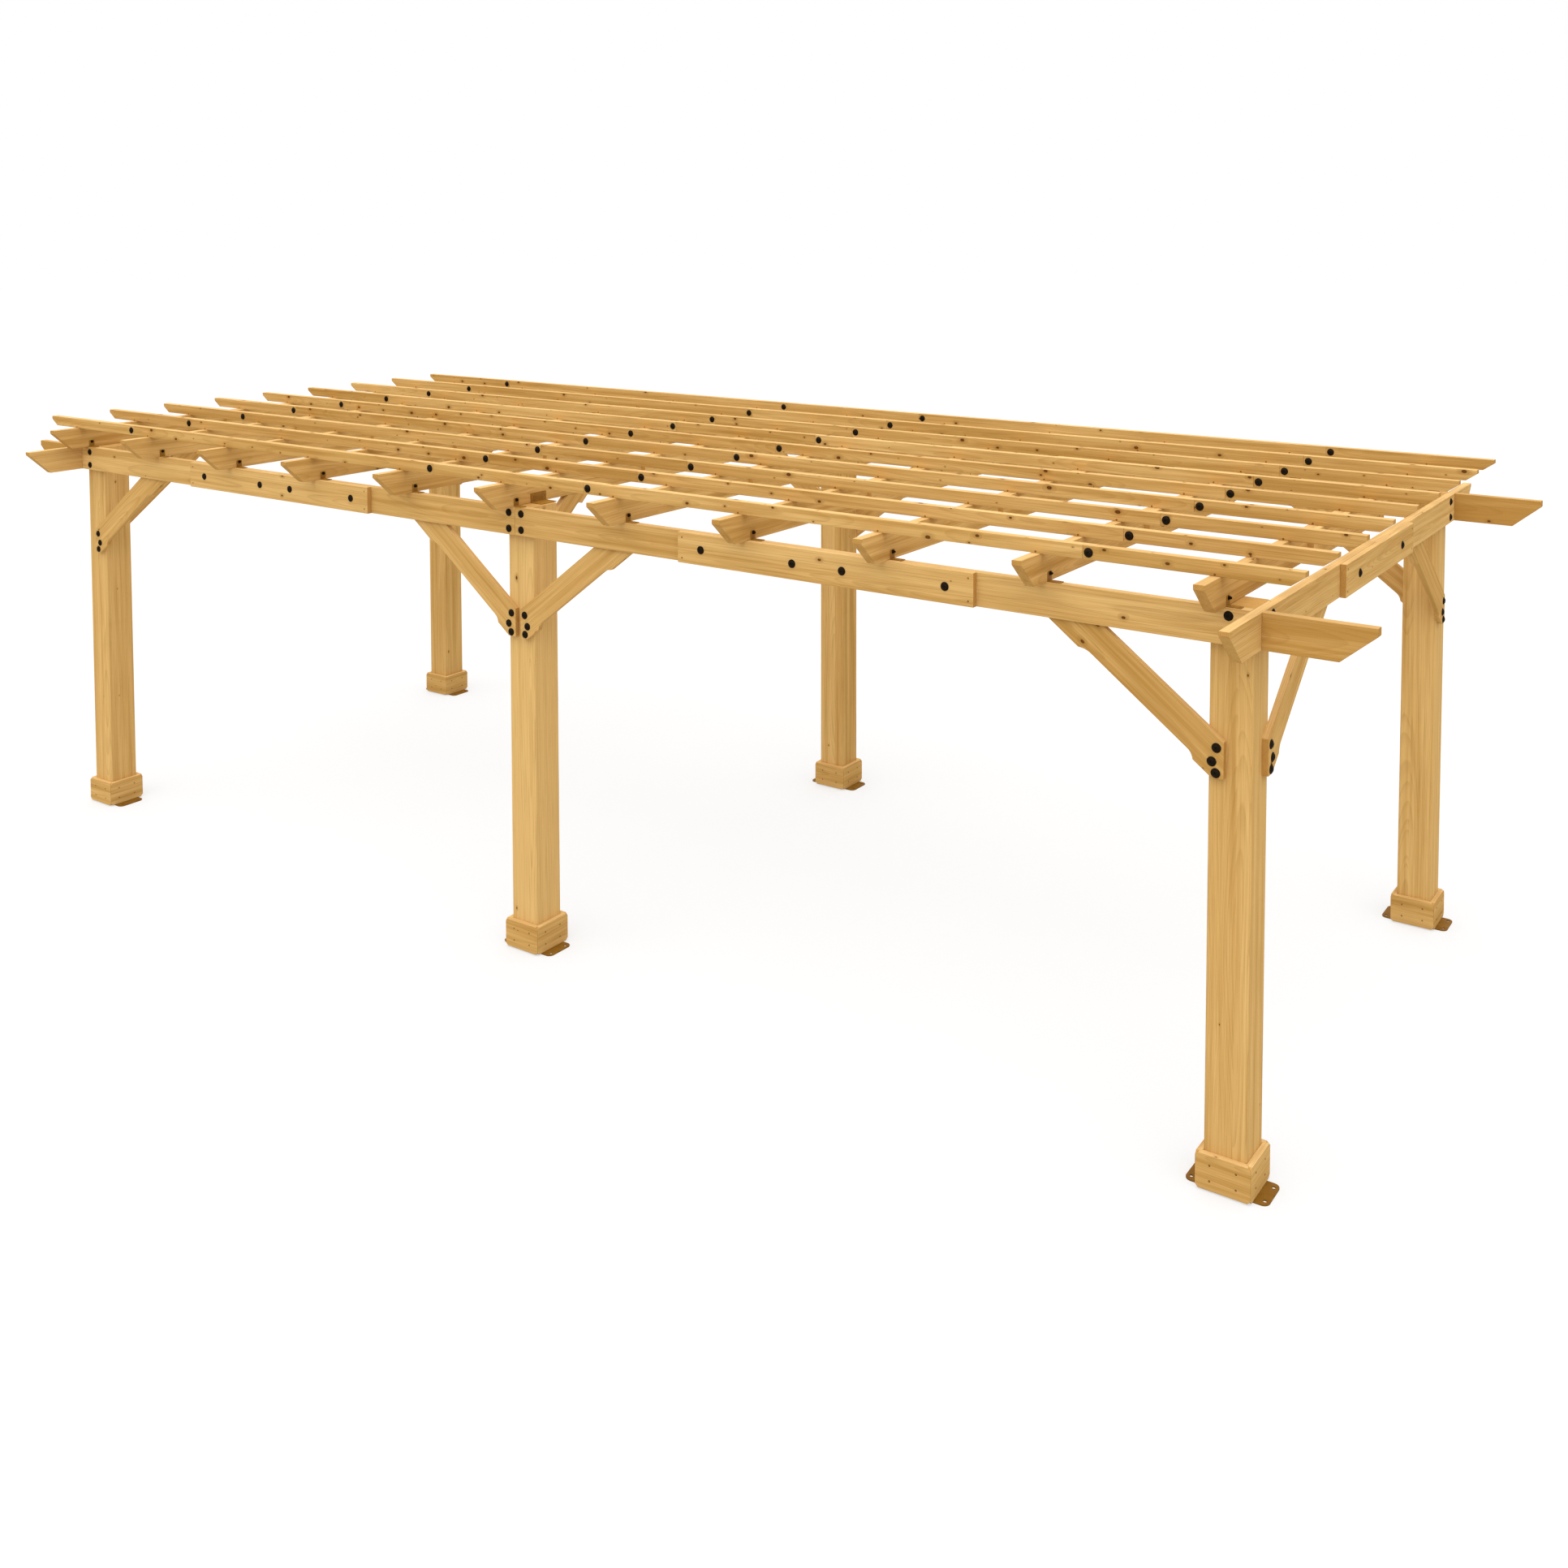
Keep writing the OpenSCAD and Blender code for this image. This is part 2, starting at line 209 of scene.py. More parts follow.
@dataclass(frozen=True)
class BoardInputs:
    """Sockets with what a board's mesh tells its material: place in the grain, own values, face."""

    along: Socket
    across: Socket
    through: Socket
    tone: Socket
    pith_across: Socket
    pith_through: Socket
    row: Socket
    end: Socket

    @classmethod
    def read(cls, tree: Tree) -> "BoardInputs":
        """Reads the three attributes of the mesh.

        Args:
            tree: Node tree that gets the nodes.

        Returns:
            The sockets.
        """
        layers = [add_node(tree, "Attribute", attribute_name=label) for label in ("grain", "board", "face")]
        parts = [add_node(tree, "SeparateXYZ", (layer.outputs["Vector"],)).outputs for layer in layers]
        return cls(*parts[0], *parts[1], parts[2]["X"], parts[2]["Y"])


@dataclass(frozen=True)
class StainedSoftwood:
    """Planed softwood under a nearly matt honey stain.

    The eye gets pale early wood between darker late-wood lines, long fine fibres, slow changes of
    tone from board to board, small brown knots with the grain flowing round them, and darker,
    thirstier end grain. Upward faces are mixed towards a paler colour, a painted highlight of the
    light from above. Growth rings of 5 mm and fibres of 2.5 mm are near the finest that show at the
    photo's scale of 2 to 4 mm a pixel; real fibres are finer. Shares and tones are parts of one, and
    an edge is the two ends of a ramp.
    """

    name: str
    pale: str = "#DFB774"
    body: str = "#D0A562"
    deep: str = "#B88B47"
    late: str = "#98692D"
    end: str = "#B98A47"
    # Paler colour that upward faces are mixed towards: a painted highlight of the light from above.
    painted_highlight_colour: str = "#EACF9F"
    knot: str = "#6E431A"
    rim: str = "#4C2C10"
    ring_mm: float = 5.0
    ring_share: float = 0.22
    ring_pace: float = 0.42
    ring_unrest: float = 2.6
    ring_stops: Stops = ((0.0, 0.10), (0.45, 0.18), (0.82, 0.85), (0.93, 1.0), (1.0, 0.10))
    drift_mm: float = 50.0
    drift_per_m: Point = (0.45, 2.5, 2.5)
    fibre_mm: float = 2.5
    fibre_l_mm: float = 260.0
    fibre_share: float = 0.50
    fibre_edge: Pair = (0.48, 0.78)
    streak_mm: float = 24.0
    streak_l_mm: float = 900.0
    streak_tone: float = 0.42
    streak_edge: Pair = (0.25, 0.75)
    knot_gap_mm: float = 300.0
    knot_row_mm: float = 75.0
    knot_scatter: float = 0.85
    knot_share: float = 0.16
    knot_r_mm: Pair = (1.4, 6.5)
    knot_skew: float = 2.2
    knot_squeeze: float = 0.62
    core_edge: Pair = (0.65, 1.2)
    rim_edge: Pair = (0.3, 0.85)
    halo_edge: Pair = (0.8, 3.6)
    halo_share: float = 0.45
    swirl_mm: float = 11.0
    strip_mm: float = 2000.0
    strip_tone: float = 0.0
    strip_step_m: float = 3.7
    tone: float = 0.16
    end_share: float = 0.75
    # Share and normal-Z ramp of the painted highlight on upward faces.
    painted_highlight_share: float = 0.26
    painted_highlight_edge: Pair = (0.4, 0.9)
    relief_mm: float = 0.4
    relief_level: float = 0.35
    relief_fibre: float = 0.8
    roughness: float = 0.72
    roughness_spread: Pair = (-0.07, 0.11)
    gloss: float = 0.02

    def material(self) -> bpy.types.Material:
        """Builds the node material from the boards' own coordinates."""
        material, tree = blank_material(self.name)
        board = BoardInputs.read(tree)
        place, dice = self.strips(tree, board)
        knot, rim, swirl = self.knots(tree, board)
        rings = self.rings(tree, board, place, swirl)
        fibre = self.strands(tree, place, self.fibre_mm, self.fibre_l_mm,
                             {"Detail": 3.0, "Roughness": 0.62})
        streak = self.strands(tree, place, self.streak_mm, self.streak_l_mm,
                              {"Detail": 2.0, "Roughness": 0.5})
        stain = self.stain(tree, board, dice, streak)

        # Late wood and fibres over the stain, then the sawn ends, then the knots.
        late = linear(self.late)
        hair = add_node(tree, "MapRange", (fibre, *self.fibre_edge, 0.0, self.fibre_share))
        line = add_node(tree, "Math", (rings, self.ring_share, hair), operation="MULTIPLY_ADD")
        wood = add_node(tree, "Mix", {0: line, 6: stain, 7: late}, data_type="RGBA")
        cut = add_node(tree, "Mix", {0: line, 6: linear(self.end), 7: late}, data_type="RGBA")
        ends = add_node(tree, "Math", (board.end, self.end_share), operation="MULTIPLY")
        wood = add_node(tree, "Mix", {0: ends, 6: wood, 7: cut}, data_type="RGBA")
        around = add_node(tree, "Math", (swirl, self.halo_share), operation="MULTIPLY")
        wood = add_node(tree, "Mix", {0: around, 6: wood, 7: late}, data_type="RGBA")
        branch = add_node(tree, "Mix", {0: rim, 6: linear(self.knot), 7: linear(self.rim)}, data_type="RGBA")
        wood = add_node(tree, "Mix", {0: knot, 6: wood, 7: branch}, data_type="RGBA")

        # Late wood stands a little proud of the early wood after planing and weather.
        relief = add_node(tree, "Math", (fibre, self.relief_fibre, rings), operation="MULTIPLY_ADD")
        bump = add_node(tree, "Bump", {"Strength": self.relief_level, "Distance": self.relief_mm * MM,
                                       "Height": relief})
        smooth, rough = (self.roughness + r for r in self.roughness_spread)
        sheen = add_node(tree, "MapRange", (fibre, *NOISE_EDGE, smooth, rough))
        shader = add_node(tree, "BsdfPrincipled", {"Base Color": wood, "Roughness": sheen, "Normal": bump,
                                                   "IOR": COAT_IOR, "Specular IOR Level": self.gloss})
        add_node(tree, "OutputMaterial", {"Surface": shader})
        return material

    def strips(self, tree: Tree, board: BoardInputs) -> tuple[Node, Node]:
        """Glued strips: each has its own tone and its own stretch of grain.

        Args:
            tree: Node tree of the material.
            board: What the mesh tells.

        Returns:
            Place in the grain, and a random number for each strip.
        """
        # Three strips make up a post, so the first one starts 1.5 widths from the middle.
        width = self.strip_mm * MM
        shifted = add_node(tree, "Math", (board.across, 1.5 * width), operation="ADD")
        strip = add_node(tree, "Math", (shifted, width), operation="DIVIDE")
        index = add_node(tree, "Math", (strip,), operation="FLOOR")
        seed = add_node(tree, "CombineXYZ", (index, board.tone, board.pith_through))
        dice = add_node(tree, "TexWhiteNoise", {"Vector": seed}, noise_dimensions="3D")
        run = add_node(tree, "Math", (index, self.strip_step_m, board.along), operation="MULTIPLY_ADD")
        return add_node(tree, "CombineXYZ", (run, board.across, board.through)), dice

    def knots(self, tree: Tree, board: BoardInputs) -> tuple[Node, Node, Node]:
        """Knots: sparse cells on each face, some of them with a knot, most of these small.

        Args:
            tree: Node tree of the material.
            board: What the mesh tells.

        Returns:
            Share of the knot, share of its dark rim, and strength of the swirl round it.
        """
        spot = add_node(tree, "CombineXYZ", (board.along, board.row, 0.0))
        cell = (self.knot_gap_mm * MM, self.knot_row_mm * MM, 1.0)
        scaled = add_node(tree, "VectorMath", (spot, cell), operation="DIVIDE")
        cells = add_node(tree, "TexVoronoi", {"Vector": scaled, "Scale": 1.0,
                                              "Randomness": self.knot_scatter},
                         voronoi_dimensions="2D", feature="F1")
        away = add_node(tree, "VectorMath", (scaled, cells.outputs["Position"]), operation="SUBTRACT")
        squeezed = (cell[0] * self.knot_squeeze, cell[1], 0.0)
        metric = add_node(tree, "VectorMath", (away, squeezed), operation="MULTIPLY")
        distance = add_node(tree, "VectorMath", (metric,), operation="LENGTH")
        luck = add_node(tree, "SeparateColor", (cells.outputs["Color"],))
        clear = 1.0 - self.knot_share
        share = add_node(tree, "MapRange", (luck, clear, 1.0, 0.0, 1.0))
        skew = add_node(tree, "Math", (share, self.knot_skew), operation="POWER")
        small, large = (r * MM for r in self.knot_r_mm)
        size = add_node(tree, "Math", (skew, large - small, small), operation="MULTIPLY_ADD")
        chosen = add_node(tree, "Math", (luck, clear), operation="GREATER_THAN")
        reach = add_node(tree, "Math", (distance, size), operation="DIVIDE")
        steps = ((*self.core_edge, 1.0, 0.0), (*self.rim_edge, 0.0, 1.0), (*self.halo_edge, 1.0, 0.0))
        core, rim, halo = (add_node(tree, "MapRange", (reach, *step), interpolation_type="SMOOTHSTEP")
                           for step in steps)
        knot = add_node(tree, "Math", (core, chosen), operation="MULTIPLY")
        swirl = add_node(tree, "Math", (halo, chosen), operation="MULTIPLY")
        return knot, rim, swirl

    def rings(self, tree: Tree, board: BoardInputs, place: Node, swirl: Node) -> Node:
        """Growth rings about a pith that wanders along the board.

        Args:
            tree: Node tree of the material.
            board: What the mesh tells.
            place: Place in the grain.
            swirl: Strength of the swirl round the knots.

        Returns:
            Share of late wood.
        """
        slow = add_node(tree, "VectorMath", (place, self.drift_per_m), operation="MULTIPLY")
        drift = add_node(tree, "TexNoise", {"Vector": slow, "Scale": 1.0, "Detail": 2.0, "Roughness": 0.45})
        most = self.drift_mm * MM
        offset = add_node(tree, "MapRange", (drift, *NOISE_EDGE, -most, most))
        bent = add_node(tree, "Math", (swirl, self.swirl_mm * MM, offset), operation="MULTIPLY_ADD")
        side = add_node(tree, "Math", (board.across, board.pith_across), operation="SUBTRACT")
        depth = add_node(tree, "Math", (board.through, board.pith_through), operation="SUBTRACT")
        depth = add_node(tree, "Math", (depth, bent), operation="ADD")
        radial = add_node(tree, "CombineXYZ", (side, depth, 0.0))
        radius = add_node(tree, "VectorMath", (radial,), operation="LENGTH")
        years = add_node(tree, "Math", (radius, 1.0 / (self.ring_mm * MM)), operation="MULTIPLY")
        pace = add_node(tree, "TexNoise", {"W": years, "Scale": self.ring_pace, "Detail": 1.0},
                        noise_dimensions="1D")
        phase = add_node(tree, "Math", (pace, self.ring_unrest, years), operation="MULTIPLY_ADD")
        turn = add_node(tree, "Math", (phase,), operation="FRACT")
        rings = add_node(tree, "ValToRGB", (turn,))
        set_stops(rings.color_ramp, [(at, (v, v, v, 1.0)) for at, v in self.ring_stops])
        return rings

    def strands(self, tree: Tree, place: Node, width_mm: float, length_mm: float, settings: dict) -> Node:
        """Fibres or streaks: a noise drawn out along the board.

        Args:
            tree: Node tree of the material.
            place: Place in the grain.
            width_mm: Width of a strand.
            length_mm: Its length.
            settings: Detail and roughness of the noise.

        Returns:
            The noise.
        """
        rate = (1.0 / (length_mm * MM), 1.0 / (width_mm * MM), 1.0 / (width_mm * MM))
        drawn = add_node(tree, "VectorMath", (place, rate), operation="MULTIPLY")
        return add_node(tree, "TexNoise", {"Vector": drawn, "Scale": 1.0, **settings})

    def stain(self, tree: Tree, board: BoardInputs, dice: Node, streak: Node) -> Node:
        """Stain: board, strip and streak choose between deep and pale; upward faces get a painted highlight.

        Args:
            tree: Node tree of the material.
            board: What the mesh tells.
            dice: Random number of the strip.
            streak: Noise of the streaks.

        Returns:
            The colour.
        """
        level = add_node(tree, "Math", (board.tone, self.tone, 0.5), operation="MULTIPLY_ADD")
        jump = add_node(tree, "MapRange", (dice, 0.0, 1.0, -self.strip_tone, self.strip_tone))
        level = add_node(tree, "Math", (level, jump), operation="ADD")
        sway = add_node(tree, "MapRange", (streak, *self.streak_edge, -self.streak_tone, self.streak_tone))
        level = add_node(tree, "Math", (level, sway), operation="ADD")
        stain = add_node(tree, "ValToRGB", (level,))
        colours = (linear(code) for code in (self.deep, self.body, self.pale))
        set_stops(stain.color_ramp, list(zip((0.0, 0.5, 1.0), colours)))
        # Painted highlight: faces that point up are mixed towards a paler colour, standing in for the light
        # from above.
        facing = add_node(tree, "SeparateXYZ", (add_node(tree, "NewGeometry").outputs["Normal"],))
        painted_highlight_mask = add_node(tree, "MapRange", (facing.outputs["Z"], *self.painted_highlight_edge, 0.0, self.painted_highlight_share))
        return add_node(tree, "Mix", {0: painted_highlight_mask, 6: stain, 7: linear(self.painted_highlight_colour)}, data_type="RGBA")


@dataclass(frozen=True)
class CoatedSteel:
    """Sheet or turned steel under a baked powder coat.

    The eye gets an even, half-matt colour with a fine orange-peel surface and slight clouding; the
    peel of about 1 mm is drawn at 3 mm so that it shows.
    """

    name: str
    colour: str
    shade: str
    level: float = 0.28
    roughness: float = 0.5
    roughness_spread: Pair = (-0.06, 0.08)
    peel_mm: float = 3.0
    peel_share: float = 0.35
    relief_mm: float = 0.3
    relief_level: float = 0.25
    cloud_mm: float = 40.0
    cloud_edge: Pair = (0.45, 0.9)

    def material(self) -> bpy.types.Material:
        """Builds the node material from object coordinates."""
        material, tree = blank_material(self.name)
        place = add_node(tree, "TexCoord").outputs["Object"]
        per_cloud, per_peel = (1.0 / (size * MM) for size in (self.cloud_mm, self.peel_mm))
        cloud = add_node(tree, "TexNoise", {"Vector": place, "Scale": per_cloud, "Detail": 3.0})
        peel = add_node(tree, "TexNoise", {"Vector": place, "Scale": per_peel, "Detail": 2.0})
        blend = add_node(tree, "Math", (peel, self.peel_share, cloud), operation="MULTIPLY_ADD")
        mix = add_node(tree, "MapRange", (blend, *self.cloud_edge, 0.0, 1.0))
        colour, shade = linear(self.colour), linear(self.shade)
        coat = add_node(tree, "Mix", {0: mix, 6: colour, 7: shade}, data_type="RGBA")
        smooth, rough = (self.roughness + r for r in self.roughness_spread)
        gloss = add_node(tree, "MapRange", (peel, *NOISE_EDGE, smooth, rough))
        bump = add_node(tree, "Bump", {"Strength": self.relief_level, "Distance": self.relief_mm * MM,
                                       "Height": peel})
        shader = add_node(tree, "BsdfPrincipled", {"Base Color": coat, "Roughness": gloss, "Normal": bump,
                                                   "IOR": COAT_IOR, "Specular IOR Level": self.level})
        add_node(tree, "OutputMaterial", {"Surface": shader})
        return material


@dataclass
class Finishes:
    """The materials of the whole part, made once."""

    board: bpy.types.Material
    batten: bpy.types.Material
    post: bpy.types.Material
    steel: bpy.types.Material
    plate: bpy.types.Material
    bolt: bpy.types.Material
    screw: bpy.types.Material

    @classmethod
    def make(cls) -> "Finishes":
        """Builds every finish."""
        # Planed boards: an even honey colour with few knots.
        board = StainedSoftwood("planed_softwood_honey_stain")
        # Battens of knottier wood: a slightly browner, speckled roof.
        batten = StainedSoftwood("planed_knotty_softwood_honey_stain", body="#CA9F5C", deep="#B08440",
                                 knot_share=0.6, knot_gap_mm=220.0, knot_row_mm=55.0, knot_r_mm=(1.6, 8.0))
        # Posts glued up from strips of 50 mm: upright bands of slightly different tone.
        post = StainedSoftwood("glued_strip_softwood_honey_stain", strip_mm=50.0, strip_tone=0.3, tone=0.1,
                               knot_share=0.05)
        # Folded angles under a bronze powder coat: a warm brown with a dull sheen.
        steel = CoatedSteel("folded_steel_bronze_powder_coat", "#9C6F28", "#8A5E1E", level=0.15)
        # Foot plates under a darker bronze coat: deeper brown and more matt.
        plate = CoatedSteel("plate_steel_dark_bronze_powder_coat", "#845C1B", "#744E14", level=0.1,
                            roughness=0.6)
        # Bolts and nuts under a brown-black coat: dark dots with next to no shine.
        bolt = CoatedSteel("turned_steel_brown_black_powder_coat", "#1E150A", "#140D05", level=0.06,
                           roughness=0.6, cloud_mm=12.0)
        # Screws with a brown coat: small dots darker than the wood.
        screw = CoatedSteel("drawn_steel_brown_screw_coat", "#5C3C14", "#4A2F0E", level=0.1,
                            roughness=0.6, cloud_mm=6.0)
        return cls(*(finish.material() for finish in (board, batten, post, steel, plate, bolt, screw)))


# Boards and plates


@dataclass(frozen=True)
class Ease:
    """Rounding of a piece's edges: along the grain, round its cut ends, and the steps across each."""

    long: float
    end: float
    segments: int = 2
    end_segments: int = 1


@dataclass
class Solid:
    """One closed solid of a CAD node: points in metres and faces by index."""

    points: np.ndarray
    faces: list[tuple[int, ...]]


def solids_of(node: bpy.types.Object) -> list[Solid]:
    """Splits a CAD node into its solids, with corners at one place joined.

    Args:
        node: The CAD object, which stays as it is.

    Returns:
        The solids, in the order of their faces.
    """
    mesh = node.data
    flat = np.empty(len(mesh.vertices) * 3, np.float32)
    mesh.vertices.foreach_get("co", flat)
    places = flat.reshape(-1, 3).astype(float)
    keys = np.round(places / (WELD_MM * MM)).astype(np.int64)
    unique, back = np.unique(keys, axis=0, return_inverse=True)
    back = back.reshape(-1)
    points = np.zeros((len(unique), 3))
    points[back] = places
    parent = list(range(len(unique)))

    def root(i: int) -> int:
        """Root of the group that holds point i."""
        while parent[i] != i:
            parent[i] = parent[parent[i]]
            i = parent[i]
        return i

    faces = []
    for polygon in mesh.polygons:
        face = [int(back[i]) for i in polygon.vertices]
        if len(set(face)) < 3:
            continue
        faces.append(face)
        for i in face[1:]:
            parent[root(i)] = root(face[0])
    groups: dict[int, list[list[int]]] = {}
    for face in faces:
        groups.setdefault(root(face[0]), []).append(face)
    solids = []
    for group in groups.values():
        used = sorted({i for face in group for i in face})
        number = {i: k for k, i in enumerate(used)}
        solids.append(Solid(points[used], [tuple(number[i] for i in face) for face in group]))
    return solids


@dataclass
class MeshStore:
    """Points, faces and surface values of the boards that make up one piece."""

    points: list[Point] = field(default_factory=list)
    normals: list[Point] = field(default_factory=list)
    faces: list[list[int]] = field(default_factory=list)
    grain: list[Point] = field(default_factory=list)
    board: list[Point] = field(default_factory=list)
    face: list[Point] = field(default_factory=list)

    def piece(self, name: str, material: bpy.types.Material) -> bpy.types.Object:
        """Makes one object of what is stored.

        Args:
            name: Name of the object.
            material: Its only material.

        Returns:
            The object, linked to the scene.
        """
        mesh = bpy.data.meshes.new(name)
        mesh.from_pydata(self.points, [], self.faces)
        mesh.polygons.foreach_set("use_smooth", [True] * len(mesh.polygons))
        layers = (("grain", "POINT", self.grain), ("board", "POINT", self.board),
                  ("face", "CORNER", self.face))
        for label, domain, values in layers:
            layer = mesh.attributes.new(label, "FLOAT_VECTOR", domain)
            layer.data.foreach_set("vector", np.asarray(values, np.float32).ravel())
        mesh.normals_split_custom_set_from_vertices(self.normals)
        mesh.materials.append(material)
        piece = bpy.data.objects.new(name, mesh)
        bpy.context.scene.collection.objects.link(piece)
        return piece


def round_off(bm: bmesh.types.BMesh, edges: list[bmesh.types.BMEdge], size_mm: float, segments: int) -> None:
    """Rounds edges and marks the new faces.

    Args:
        bm: The mesh.
        edges: Its edges to round.
        size_mm: Size of the rounding.
        segments: Steps across the rounding.
    """
    result = bmesh.ops.bevel(bm, geom=edges, offset=size_mm * MM, offset_type="OFFSET", segments=segments,
                             profile=0.5, affect="EDGES", clamp_overlap=True)
    for f in result["faces"]:
        f.material_index = ROUND_MARK


def eased(solid: Solid, ease: Ease) -> tuple[bmesh.types.BMesh, set, tuple[Vector, Vector, Vector, Vector]]:
    """Rounds the sharp edges of a solid: the planed long ones first, then those round the sawn ends.

    Args:
        solid: The solid to copy.
        ease: Sizes of the rounding.

    Returns:
        The mesh, its rounding faces, and the board's centre and grain, width and thickness directions.
    """
    bm = bmesh.new()
    corners = [bm.verts.new(p) for p in solid.points]
    for face in solid.faces:
        bm.faces.new([corners[i] for i in face])
    bmesh.ops.recalc_face_normals(bm, faces=bm.faces)
    bmesh.ops.dissolve_limit(bm, angle_limit=math.radians(FLAT_DEG), verts=bm.verts, edges=bm.edges)
    directions = board_axes(bm)

    def sharp(planed: bool) -> list[bmesh.types.BMEdge]:
        """Sharp edges, those along the grain or the others."""
        chosen = []
        for e in bm.edges:
            fresh = any(f.material_index != ROUND_MARK for f in e.link_faces)
            if fresh and e.is_manifold and e.calc_face_angle(0.0) > math.radians(SHARP_DEG):
                way = (e.verts[1].co - e.verts[0].co).normalized()
                if (abs(way.dot(directions[1])) > ALONG_GRAIN) == planed:
                    chosen.append(e)
        return chosen

    if ease.end == ease.long:
        round_off(bm, sharp(True) + sharp(False), ease.long, ease.segments)
    else:
        round_off(bm, sharp(True), ease.long, ease.segments)
        bm.normal_update()
        round_off(bm, sharp(False), ease.end, ease.end_segments)
    bm.normal_update()
    return bm, {f for f in bm.faces if f.material_index == ROUND_MARK}, directions


def board_axes(bm: bmesh.types.BMesh) -> tuple[Vector, Vector, Vector, Vector]:
    """Finds a board's own directions: the grain runs along its longest edge.

    Args:
        bm: Mesh of the board, before its edges are rounded.

    Returns:
        Centre, grain direction, width direction and thickness direction.
    """
    places = np.array([v.co for v in bm.verts])
    low, high = places.min(0), places.max(0)
    longest = max(bm.edges, key=lambda e: round(e.calc_length(), LENGTH_DIGITS))
    along = (longest.verts[1].co - longest.verts[0].co).normalized()
    span = high - low
    choices = [i for i in (1, 0, 2) if abs(along[i]) < ACROSS_GRAIN]
    thin = min(choices, key=lambda i: round(float(span[i]), SPAN_DIGITS))
    through = Vector([1.0 if i == thin else 0.0 for i in range(3)])
    across = through.cross(along).normalized()
    return Vector((low + high) / 2), along, across, through


def vertex_normal(vertex: bmesh.types.BMVert, rounding: set) -> Vector:
    """Normal of a corner: that of its flat faces, so that only the rounding looks round.

    Args:
        vertex: The corner.
        rounding: Faces of the rounded edges.

    Returns:
        The normal.
    """
    flats = sorted((f for f in vertex.link_faces if f not in rounding), key=lambda f: -f.calc_area())
    if not flats:
        return vertex.normal
    total = Vector()
    for f in flats:
        if f.normal.angle(flats[0].normal, 0.0) < math.radians(SHARP_DEG):
            total += f.normal
    return total.normalized()


def store_solid(store: MeshStore, solid: Solid, ease: Ease, tone: float, dice: random.Random) -> None:
    """Adds an eased copy of a solid to a store, with its grain.

    Args:
        store: Where the copy goes.
        solid: The solid.
        ease: Rounding of its edges.
        tone: Usual tone of such boards, from dark below 0 to pale above it.
        dice: Source of the board's own tone, pith and stretch of grain.
    """
    bm, rounding, (centre, along, across, through) = eased(solid, ease)
    start = dice.uniform(0.0, GRAIN_RUN_M)
    own_tone = tone + max(-TONE_LIMIT, min(TONE_LIMIT, dice.gauss(0.0, TONE_SPREAD)))
    pith_across = dice.uniform(-PITH_SIDE_M, PITH_SIDE_M)
    own = (own_tone, pith_across, dice.choice((-1, 1)) * dice.uniform(*PITH_DEPTH_M))
    first = len(store.points)
    bm.verts.index_update()
    for v in bm.verts:
        p = v.co - centre
        store.points.append(tuple(v.co))
        store.normals.append(tuple(vertex_normal(v, rounding)))
        store.grain.append((p.dot(along) + start, p.dot(across), p.dot(through)))
        store.board.append(own)
    for f in bm.faces:
        store.faces.append([first + v.index for v in f.verts])
        parts = [abs(f.normal.dot(d)) for d in (along, across, through)]
        flat = parts[1] < parts[2]
        number = (0 if flat else 2) + (1 if f.normal.dot(through if flat else across) > 0 else 0)
        end = min(1.0, max(0.0, (parts[0] - END_FROM) / END_SPAN))
        for v in f.verts:
            p = v.co - centre
            row = p.dot(across if flat else through) + FACE_STEP_M * number
            store.face.append((row, end, float(number)))
    bm.free()


def dress_node(frame: dict, node: str, name: str, material: bpy.types.Material, ease: Ease,
               tone: float = 0.0) -> bpy.types.Object:
    """Puts an eased piece in the place of a CAD node.

    Args:
        node: Name of the CAD node.
        name: Name of the piece.
        material: Its material.
        ease: Rounding of its edges.
        tone: Usual tone of its boards.

    Returns:
        The piece.
    """
    store = MeshStore()
    for number, solid in enumerate(solids_of(frame["nodes"][node])):
        store_solid(store, solid, ease, tone, random.Random(f"{node} {number}"))
    piece = store.piece(name, material)
    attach(piece, BODY)
    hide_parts(node)
    LOG.info("%s: %d faces", name, len(piece.data.polygons))
    return piece


# Fasteners


@dataclass(frozen=True)
class Spot:
    """Place of a fastener on a surface, its outward direction and its turn about that, in degrees."""

    at: Point
    out: Point
    turn: float = 0.0

    def matrix(self) -> Matrix:
        """Transform from the fastener's own millimetres to the frame's metres."""
        tilt = Vector((0, 0, 1)).rotation_difference(Vector(self.out)).to_matrix().to_4x4()
        spin = Matrix.Rotation(math.radians(self.turn), 4, "Z")
        return Matrix.Translation(Vector(self.at) * MM) @ tilt @ spin @ Matrix.Scale(MM, 4)


@dataclass(frozen=True)
class Ring:
    """One ring of a turned shape: radius, height and outline."""

    r: float
    z: float
    section: Section = Section.ROUND


@dataclass(frozen=True)
class Turned:
    """Fastener turned from a row of rings, from the wood outwards."""

    rings: tuple[Ring, ...]
    sides: int = 24

    def mesh(self) -> tuple[list[Vector], list[list[int]]]:
        """Points and faces of the shape, with its first and last rings closed."""
        points: list[Vector] = []
        for ring in self.rings:
            for k in range(self.sides):
                a = 2 * math.pi * k / self.sides
                r = ring.r
                if ring.section is Section.HEX:
                    half = math.pi / 6
                    r = ring.r * math.cos(half) / math.cos((a + half) % (math.pi / 3) - half)
                points.append(Vector((r * math.cos(a), r * math.sin(a), ring.z)))
        n = self.sides
        faces = []
        for row in range(len(self.rings) - 1):
            a, b = row * n, (row + 1) * n
            faces += [[a + k, a + (k + 1) % n, b + (k + 1) % n, b + k] for k in range(n)]
        faces.append([(len(self.rings) - 1) * n + k for k in range(n)])
        faces.append([n - 1 - k for k in range(n)])
        return points, faces


